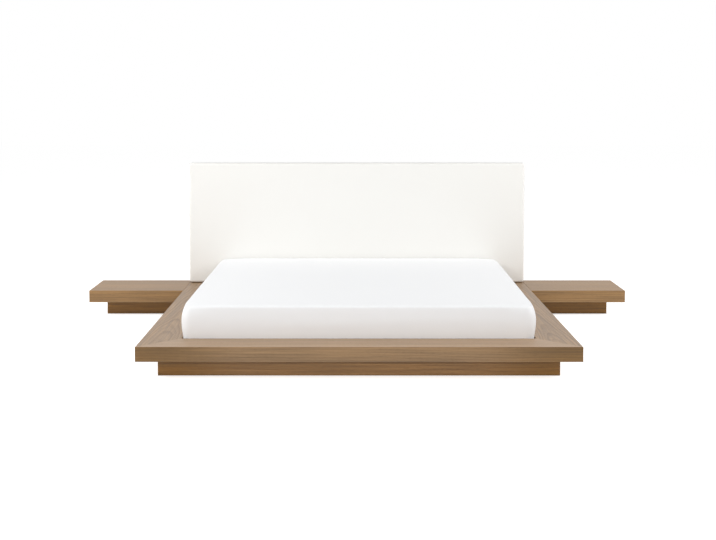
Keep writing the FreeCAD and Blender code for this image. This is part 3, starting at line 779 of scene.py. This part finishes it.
def sheet_wrinkle(place, half_x, half_y):
    """How far the sheet stands out from a smooth fit, at a place measured from its middle."""
    x, y, z = place
    height = z - SHEET_LOW.z
    top = eased((height - TOP_STARTS) / TOP_TURN)
    side = 1 - top
    broad = Vector((x * BROAD_WAVES, y * BROAD_WAVES, 4.0))
    small = Vector((x * SMALL_WAVES, y * SMALL_WAVES, z * 3.0 + 9.0))
    soft = noise.noise(broad) * BROAD_HEIGHT * top + noise.noise(small) * SMALL_HEIGHT
    near_x = half_x - abs(x)
    near_y = half_y - abs(y)
    from_corner = math.hypot(max(near_x, 0.0), max(near_y, 0.0))
    gather = math.exp(-((from_corner / GATHER_REACH) ** 2)) * side
    gather *= eased(1.2 - height / TOP_STARTS)
    wander = FOLD_WANDER * noise.noise(Vector((x * 9, y * 9, z * 14)))
    run = (x if near_y < near_x else y) + wander
    folds = math.sin(run * math.tau / FOLD_PITCH) * FOLD_HEIGHT * gather
    pull = noise.noise(Vector((x * 1.3 + y * 1.3, z * 26.0, 2.0))) * PULL_HEIGHT * side
    crease = 0.0
    if y < 0 and near_y < CREASE_BAND:
        line = Vector(CREASE_FOOT) - Vector(CREASE_TOP)
        flat = Vector((x, z)) - Vector(CREASE_TOP)
        share = flat.dot(line) / line.length_squared
        away = abs(flat.x * line.y - flat.y * line.x) / line.length
        crease = -CREASE_DEPTH * math.exp(-((away / CREASE_WIDTH) ** 2))
        crease *= eased(1.5 - abs(share - 0.5) * 2)
    return soft + folds + pull + crease


def soft_corner(place, half_x, half_y, height):
    """How a soft form rolls over at its upper corners.

    The place is measured from the form's middle and foot.
    """
    beside, before = half_x - abs(place.x), half_y - abs(place.y)
    share = 1 - eased(math.hypot(max(beside, 0), max(before, 0)) / SOFT_CORNER_REACH)
    outwards = Vector((max(SHEET_CORNER - beside, 0), max(SHEET_CORNER - before, 0)))
    from_edge = min(beside, before, SHEET_CORNER - outwards.length)
    outwards.normalize()

    def rolled(distance):
        left = max(SOFT_CORNER_ROLL - max(distance, 0), 0)
        return share * (SOFT_CORNER_ROLL - math.sqrt(SOFT_CORNER_ROLL**2 - left**2))

    if place.z > height - FACE_BAND:
        return Vector((0, 0, -SOFT_CORNER_SHARE * rolled(from_edge)))
    drawn = outwards * -SOFT_CORNER_SHARE * rolled(height - place.z)
    return Vector((math.copysign(1, place.x) * drawn.x, math.copysign(1, place.y) * drawn.y, 0))


def settled(place, half_x, half_y, height):
    """How the loose mattress has settled: its sides belly and its head leans to one side."""
    above = min(max((place.z / height - 0.25) / 0.75, 0.0), 1.0)
    belly = SIDE_BULGE * math.sin(math.pi * above) * place.x / half_x
    lean = SHEET_LEAN * eased(above) * eased(0.5 + 0.5 * place.y / half_y)
    return Vector((belly + lean, 0, 0))


def bedding_skin(size, top_roll, bulge, arc, hem=()):
    """The skin of the sheet, which ends in a hem, or of the mattress, which is closed."""
    core = [half - SHEET_CORNER for half in size[:2]]
    profile = side_profile(SHEET_CORNER, size[2], SHEET_LOW_ROLL, top_roll, bulge, SIDE_STEPS)
    counts = [round(2 * half / SHEET_STEP) for half in core]
    return skin(core, counts, arc, profile + list(hem), not hem)


def make_sheet():
    """The fitted sheet, stretched over the mattress and turned in under it."""
    half_x = SHEET_HALF.x - SHEET_BULGE
    half_y = SHEET_HALF.y - SHEET_BULGE
    height = SHEET_HALF.z * 2 - SHEET_CROWN
    size = (half_x, half_y, height)
    hem = [(-SHEET_HEM * share + SHEET_CORNER, 0.0) for share in (0.55, 0.8, 0.93, 1.0)]
    shape = bedding_skin(size, SHEET_TOP_ROLL, SHEET_BULGE, 6, hem)
    for corner in shape.verts:
        if corner.co.z > height - FACE_BAND:
            corner.co.z += SHEET_CROWN * crown_at(corner.co.x, corner.co.y, half_x, half_y)
        corner.co += soft_corner(corner.co, *size) + settled(corner.co, *size)
        corner.co += Vector((0, SHEET_MIDDLE.y, SHEET_LOW.z))
    shape.normal_update()
    for corner in shape.verts:
        if corner.co.z < SHEET_LOW.z + 0.003:
            continue
        place = corner.co - Vector((0, SHEET_MIDDLE.y, 0))
        corner.co += corner.normal * sheet_wrinkle(place, half_x, half_y)
    made = piece("fitted_sheet_cotton", shape, "sheet_cotton", "mattress")
    thickened(made, SHEET_THICKNESS, -1.0)
    subdivided(made)
    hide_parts("fitted_sheet")


def make_mattress():
    """The mattress, quilted on top and underneath."""
    low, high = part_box("mattress")
    middle = (low + high) / 2
    half = (high - low) / 2 - Vector((SHEET_BULGE + MATTRESS_INSET,) * 2 + (0,))
    height = half.z * 2 - SHEET_CROWN - MATTRESS_INSET
    size = (half.x, half.y, height)
    shape = bedding_skin(size, MATTRESS_TOP_ROLL, MATTRESS_BULGE, 5)
    for corner in shape.verts:
        x, y, z = corner.co
        waves = [abs(math.sin(math.pi * run / QUILT_SPACING)) for run in (x + y, x - y)]
        inside = eased((min(half.x - abs(x), half.y - abs(y)) - 0.02) / 0.08)
        sunk = QUILT_DEPTH * (1 - waves[0] * waves[1]) * inside
        if z > height - FACE_BAND:
            corner.co.z -= sunk
        elif z < FACE_BAND:
            corner.co.z += sunk
        corner.co += soft_corner(corner.co, *size) + settled(corner.co, *size)
        corner.co += Vector((0, middle.y, low.z + MATTRESS_LIFT))
    made = piece("mattress_core", shape, "mattress_ticking", "mattress")
    subdivided(made)
    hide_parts("mattress")


# Headboard


def make_headboard():
    """The upholstery: foam under leather, turned round the frame to the back."""
    low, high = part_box("headboard_cover")
    panel_low, panel_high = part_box("headboard_panel")
    half_x = (high.x - low.x) / 2 - HEADBOARD_BULGE
    half_y = (high.z - low.z) / 2 - HEADBOARD_BULGE
    thickness = high.y - low.y - HEADBOARD_CROWN
    core = (half_x - HEADBOARD_CORNER, half_y - HEADBOARD_CORNER)
    profile = side_profile(
        HEADBOARD_CORNER, thickness, HEADBOARD_BACK_ROLL, HEADBOARD_FRONT_ROLL, HEADBOARD_BULGE, 4
    )
    seam = thickness - SEAM_FROM_FRONT
    groove = [
        (HEADBOARD_CORNER, seam + SEAM_HALF_WIDTH),
        (HEADBOARD_CORNER - SEAM_DEPTH, seam),
        (HEADBOARD_CORNER, seam - SEAM_HALF_WIDTH),
    ]
    before = sum(height > seam for _, height in profile)
    profile[before:before] = groove
    inner = panel_high.x - core[0]
    lip = HEADBOARD_CORNER - HEADBOARD_RETURN
    pocket = high.y - panel_low.y
    profile += [(0.0, 0.0), (lip * 0.5, 0.0), (lip, 0.0), (lip, HEADBOARD_SKIN)]
    profile += [(lip * 0.5, HEADBOARD_SKIN), (inner, HEADBOARD_SKIN)]
    profile += [(inner, pocket), (0.0, pocket)]
    counts = [round(2 * half / HEADBOARD_STEP) for half in core]
    shape = skin(core, counts, 4, profile, True)
    for corner in shape.verts:
        x, y, z = corner.co
        if z > thickness - FACE_BAND:
            z += HEADBOARD_CROWN * crown_at(x, y, half_x, half_y)
            z += HEADBOARD_WAVE * noise.noise(Vector((x * 3.0, y * 3.0, 1.0)))
        corner.co = Vector((x, high.y - z, (low.z + high.z) / 2 + y))
    made = piece("headboard_upholstery", shape, "headboard_leather", "bed_frame")
    rounder = made.modifiers.new("edges", "BEVEL")
    rounder.width = HEADBOARD_EDGE
    rounder.segments = 2
    rounder.limit_method = "ANGLE"
    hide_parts("headboard_cover", "headboard_foam")


def lining_place(overlap):
    """The lining's half sizes with an overlap, its middle height and how far back it is."""
    low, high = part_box("headboard_back_cloth")
    half_x = (high.x - low.x) / 2 + overlap
    half_z = (high.z - low.z) / 2 + overlap
    return half_x, half_z, (low.z + high.z) / 2, high.y


def make_lining():
    """The lining cloth, stapled over the back of the headboard."""
    half_x, half_z, middle_z, rear = lining_place(LINING_OVERLAP)
    stiles = [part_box(stile) for stile in STILES]
    columns, rows = LINING_GRID
    shape = bmesh.new()
    lines = []
    for x in spread(half_x, columns):
        line = []
        for z in spread(half_z, rows):
            free = min(half_z - abs(z) - MEMBER_HEIGHT, *(max(a.x - x, x - b.x) for a, b in stiles))
            slack = LINING_SLACK * eased(free / SLACK_RUN)
            ripple = LINING_RIPPLE * noise.noise(Vector((x * 14, z * 5, 3.0)))
            back = rear + LINING_LIFT - slack + ripple
            line.append(shape.verts.new((x, back, middle_z + z)))
        lines.append(line)
    for i in range(columns):
        for j in range(rows):
            shape.faces.new((lines[i][j], lines[i][j + 1], lines[i + 1][j + 1], lines[i + 1][j]))
    made = piece("headboard_lining", shape, "back_lining", "bed_frame")
    thickened(made, LINING_THICKNESS, 1.0)
    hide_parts("headboard_back_cloth")


def box_between(shape, low, high):
    """Adds a box to a bmesh."""
    for corner in bmesh.ops.create_cube(shape, size=1.0)["verts"]:
        for axis in range(3):
            share = corner.co[axis] + 0.5
            corner.co[axis] = low[axis] + (high[axis] - low[axis]) * share


def staple_piece(name, shape):
    """The object of a set of staples, whose edges are rounded."""
    bmesh.ops.bevel(shape, geom=shape.edges[:], offset=STAPLE_ROUND, segments=1, affect="EDGES")
    made = piece(name, shape, "zinc_steel", "bed_frame", smooth=False)


def make_staples():
    """Staples round the lining."""
    half_x, half_z, middle_z, rear = lining_place(LINING_OVERLAP / 2)
    back = rear + LINING_THICKNESS + LINING_LIFT
    shape = bmesh.new()

    def along(half):
        count = round(2 * half / STAPLE_PITCH)
        return [half * (2 * (index + 0.5) / count - 1) for index in range(count)]

    spots = []
    for sign in (-1, 1):
        spots += [(x, sign * half_z, True) for x in along(half_x)]
        spots += [(sign * half_x, z, False) for z in along(half_z)]
    for x, z, level in spots:
        long, short = STAPLE_LENGTH / 2, STAPLE_WIRE / 2
        reach = (long, short) if level else (short, long)
        box_between(
            shape,
            (x - reach[0], back - STAPLE_BITE, middle_z + z - reach[1]),
            (x + reach[0], back + STAPLE_WIRE, middle_z + z + reach[1]),
        )
    staple_piece("headboard_staples", shape)


def loose_boxes(node):
    """The lowest and highest corner of each separate solid of a node."""
    shape = bmesh.new()
    shape.from_mesh(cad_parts[node].data)
    bmesh.ops.remove_doubles(shape, verts=shape.verts, dist=1e-5)
    left = set(shape.verts)
    boxes = []
    while left:
        group, edge = set(), {left.pop()}
        while edge:
            group |= edge
            edge = {link.other_vert(spot) for spot in edge for link in spot.link_edges} - group
        left -= group
        spots = [spot.co for spot in group]
        box = [[pick(spot[axis] for spot in spots) for axis in range(3)] for pick in (min, max)]
        boxes.append([Vector(end) for end in box])
    shape.free()
    return sorted(boxes, key=lambda ends: tuple(ends[0]))


def tube(shape, rings):
    """Adds the faces between rings of corners, and one at each end."""
    for lower, upper in zip(rings, rings[1:]):
        for index in range(len(lower)):
            after = (index + 1) % len(lower)
            shape.faces.new((lower[index], lower[after], upper[after], upper[index]))
    shape.faces.new(rings[0][::-1])
    shape.faces.new(rings[-1])


def turned(shape, outline, seat, axis, segments):
    """Adds a turned form from an outline of (radius, distance along the axis from its seat).

    A third value that is true makes a hexagon with its corners at that radius.
    """
    way = Vector(axis).normalized()
    side = way.orthogonal().normalized()
    other = way.cross(side)

    def ring(radius, along, hexagon=False):
        corners = []
        for index in range(segments):
            angle = math.tau * index / segments
            reach = radius
            if hexagon:
                within = (angle + math.pi / 6) % (math.pi / 3) - math.pi / 6
                reach = radius * math.cos(math.pi / 6) / math.cos(within)
            spot = (side * math.cos(angle) + other * math.sin(angle)) * reach
            corners.append(shape.verts.new(Vector(seat) + way * along + spot))
        return corners

    tube(shape, [ring(*line) for line in outline])


def countersunk_bolt(shape, seat, out, length):
    """Adds a countersunk bolt with a hexagon socket. Its head is flush at the seat."""
    cone = BOLT_HEAD - BOLT_SHANK
    outline = [
        (BOLT_SHANK * 0.6, -length),
        (BOLT_SHANK, -length + BOLT_SHANK * 0.5),
        (BOLT_SHANK, -cone - 0.0005),
        (BOLT_HEAD - 0.0003, -0.0006),
        (BOLT_HEAD - 0.0003, -0.0001),
        (BOLT_HEAD - 0.0008, 0.0),
        (BOLT_SOCKET + 0.0004, 0.0, True),
        (BOLT_SOCKET, -0.0004, True),
        (BOLT_SOCKET, -0.0028, True),
    ]
    turned(shape, outline, seat, out, 24)


def make_bolts():
    """The countersunk bolts of the headboard's posts."""
    shape = bmesh.new()
    for low, high in loose_boxes("headboard_bolts"):
        middle = (low + high) / 2
        countersunk_bolt(shape, (middle.x, high.y, middle.z), (0, 1, 0), high.y - low.y)
    made = piece("headboard_bolt_set", shape, "zinc_steel", "bed_frame", smooth=False)
    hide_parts("headboard_bolts")


# Fittings under the deck


def make_straps():
    """Two webbing straps under the slats, slack between them, with a staple pair at each slat."""
    low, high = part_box("slat_straps")
    slats = [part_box(slat) for slat in SLATS]
    webbing, staples = bmesh.new(), bmesh.new()
    for middle in (low.x + STRAP_WIDTH / 2, high.x - STRAP_WIDTH / 2):
        places = []
        for (start, end), after in zip(slats, slats[1:] + [None]):
            first, last = max(start.y, low.y), min(end.y, high.y)
            places += [(first + (last - first) * index / 4, 0.0) for index in range(5)]
            for share in STRAP_STAPLES:
                spot = first + share * (last - first)
                box_between(
                    staples,
                    (middle - STAPLE_LENGTH / 2, spot - STAPLE_WIRE / 2, low.z - STAPLE_WIRE),
                    (middle + STAPLE_LENGTH / 2, spot + STAPLE_WIRE / 2, low.z + STAPLE_WIRE),
                )
            if after:
                gap = after[0].y - end.y
                for index in range(1, 6):
                    share = index / 6
                    places.append((end.y + gap * share, STRAP_SAG * math.sin(math.pi * share)))
        rings = []
        for y, sag in places:
            ring = []
            for upper in (1, 0):
                for index in range(7):
                    across = (index / 6 - 0.5) * (1 if upper else -1)
                    selvedge = STRAP_SELVEDGE if abs(across) > 0.4 else 0.0
                    z = high.z - sag if upper else low.z - sag - selvedge
                    ring.append(webbing.verts.new((middle + across * STRAP_WIDTH, y, z)))
            rings.append(ring)
        tube(webbing, rings)
    bmesh.ops.recalc_face_normals(webbing, faces=webbing.faces)
    made = piece("slat_strap_webbing", webbing, "strap_webbing", "bed_frame", smooth=False)
    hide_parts("slat_straps")
    staple_piece("slat_strap_staples", staples)


def button_screw(shape, seat, out):
    """Adds the domed head of a wood screw with a round socket."""
    radius, rise, socket = SCREW_RADIUS, SCREW_RISE, SCREW_RADIUS * 0.45
    dome = [(radius, -0.0004), (radius, rise * 0.2), (radius * 0.93, rise * 0.55)]
    dome += [(radius * 0.78, rise * 0.85), (radius * 0.55, rise)]
    dome += [(socket, rise), (socket, rise * 0.3)]
    turned(shape, dome, seat, out, 16)


def make_screws():
    """The screws of the deck's angle brackets and of the beam's hangers."""
    shape = bmesh.new()
    for low, high in loose_boxes("deck_brackets"):
        middle = (low + high) / 2
        long_axis = 0 if high.x - low.x > high.y - low.y else 1
        leg_axis = 1 - long_axis
        outwards = -1 if middle[leg_axis] > 0 else 1
        wall = (high if outwards < 0 else low)[leg_axis]
        for side in (-1, 1):
            spot = middle.copy()
            spot[long_axis] += side * (high - low)[long_axis] * BRACKET_SCREW_SHARE
            upright, under = spot.copy(), spot.copy()
            upright[leg_axis] = wall + outwards * BRACKET_SHEET
            upright.z = middle.z - BRACKET_SCREW_DROP
            way = Vector((0, 0, 0))
            way[leg_axis] = outwards
            button_screw(shape, upright, way)
            under[leg_axis] = wall + outwards * (BRACKET_SHEET + (high - low)[leg_axis]) / 2
            under.z = high.z - BRACKET_SHEET
            button_screw(shape, under, (0, 0, -1))
    for low, high in loose_boxes("beam_hangers"):
        end = 1 if low.y > 0 else -1
        face = (high.y if end > 0 else low.y) - end * HANGER_SHEET
        for side in (-1, 1):
            x = (low.x + high.x) / 2 + side * ((high.x - low.x) / 2 - HANGER_EAR / 2)
            for share in HANGER_SCREW_SHARES:
                button_screw(shape, (x, face, low.z + (high.z - low.z) * share), (0, -end, 0))
    made = piece("deck_fitting_screws", shape, "zinc_steel", "bed_frame", smooth=False)


# Light, floor and camera


def lamp(name, size, place, aim, power, mirrored):
    """A rectangular soft lamp aimed at a point. A fill lamp leaves no highlight on the wood."""
    light = bpy.data.lights.new(name, "AREA")
    light.shape = "RECTANGLE"
    light.size, light.size_y = size
    light.energy = power
    made = put(name, light)
    made.location = place
    made.rotation_euler = (Vector(aim) - Vector(place)).to_track_quat("-Z", "Y").to_euler()
    made.visible_camera = False
    made.visible_glossy = mirrored


def seen_directly(tree):
    """1 for what the camera sees itself, in a mirror or through glass."""
    path = add(tree, "LightPath").outputs
    either = maths(tree, "MAXIMUM", path["Is Camera Ray"], path["Is Glossy Ray"])
    return maths(tree, "MAXIMUM", either, path["Is Transmission Ray"])


def light_studio():
    """Plain soft light, a white world and a pale floor that keeps the bed's shadow."""
    world = bpy.data.worlds.new("studio")
    bpy.context.scene.world = world
    world.use_nodes = True
    tree = world.node_tree
    background = tree.nodes["Background"]
    background.inputs["Color"].default_value = (1, 1, 1, 1)
    seen = seen_directly(tree)
    strength = maths(tree, "MULTIPLY_ADD", seen, 1.0 - WORLD_LIGHT, WORLD_LIGHT)
    feed(tree, background.inputs["Strength"], strength)
    for values in LAMPS:
        lamp(*values)

    matt = dict(Base_Color=FLOOR_COLOUR, Roughness=1.0, Specular_IOR_Level=0.0)
    material, tree, shader, _ = surface("floor_white", Emission_Color=(1, 1, 1, 1), **matt)
    feed(tree, shader.inputs["Emission Strength"], times(tree, seen_directly(tree), FLOOR_GLOW))
    shape = bmesh.new()
    bmesh.ops.create_grid(shape, x_segments=2, y_segments=2, size=FLOOR_SIZE)
    floor = meshed("floor", shape, material)
    floor.location.z = -FLOOR_DROP


def place_camera():
    """The photograph's viewpoint, with part of its framing as lens shift."""
    lens = bpy.data.cameras.new("camera")
    lens.sensor_width = CAMERA_SENSOR
    lens.lens = CAMERA_LENS
    lens.shift_x, lens.shift_y = CAMERA_SHIFT
    camera = put("camera", lens)
    camera.location = CAMERA_PLACE
    camera.rotation_euler = (math.radians(90 - CAMERA_PITCH), 0, math.radians(CAMERA_TURN))
    bpy.context.scene.camera = camera


finish_nodes()
make_mattress()
make_sheet()
make_headboard()
make_lining()
make_staples()
make_bolts()
make_straps()
make_screws()
light_studio()
place_camera()
bpy.context.scene.view_settings.view_transform = "Standard"
